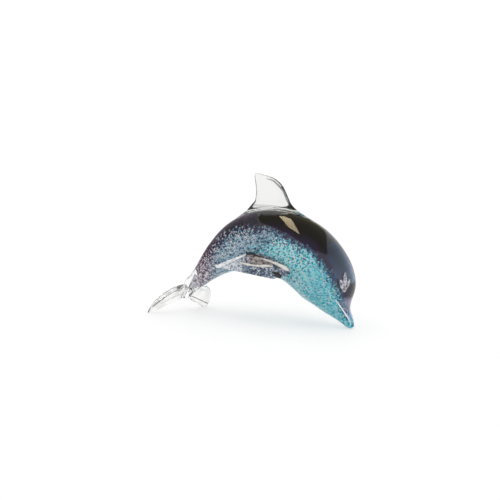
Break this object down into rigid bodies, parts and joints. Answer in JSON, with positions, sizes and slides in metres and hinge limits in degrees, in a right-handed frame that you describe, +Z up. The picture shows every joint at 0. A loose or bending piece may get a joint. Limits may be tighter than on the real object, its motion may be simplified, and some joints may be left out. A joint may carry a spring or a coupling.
{
  "type": "glass dolphin figurine",
  "caption": "Leaping dolphin figure in solid cased glass, amethyst over turquoise, standing on its beak tip and fluke tips.",
  "frame": {"origin": "middle of the figure's footprint, on the plane that its three ground feet stand on", "axes": "+X towards the head, +Y to the dolphin's left, +Z up"},
  "size_m": [0.2024, 0.0742, 0.1452],
  "materials": {
    "clear_glass": "clear, fire-polished",
    "inner_glass": "pale, behind the colour",
    "turquoise_glass": "turquoise frit with pale and teal grains",
    "amethyst_glass": "dark amethyst",
    "eye_glass": "clear, crimped"
  },
  "bodies": {
    "root": {"clear_casing": "clear_glass", "tail_stock": "clear_glass", "right_fluke": "clear_glass", "left_fluke": "clear_glass", "dorsal_fin": "clear_glass", "right_flipper": "clear_glass", "left_flipper": "clear_glass", "inner_gather": "inner_glass", "turquoise_layer": "turquoise_glass", "amethyst_layer": "amethyst_glass", "right_eye": "eye_glass", "left_eye": "eye_glass"}
  },
  "joints": []
}
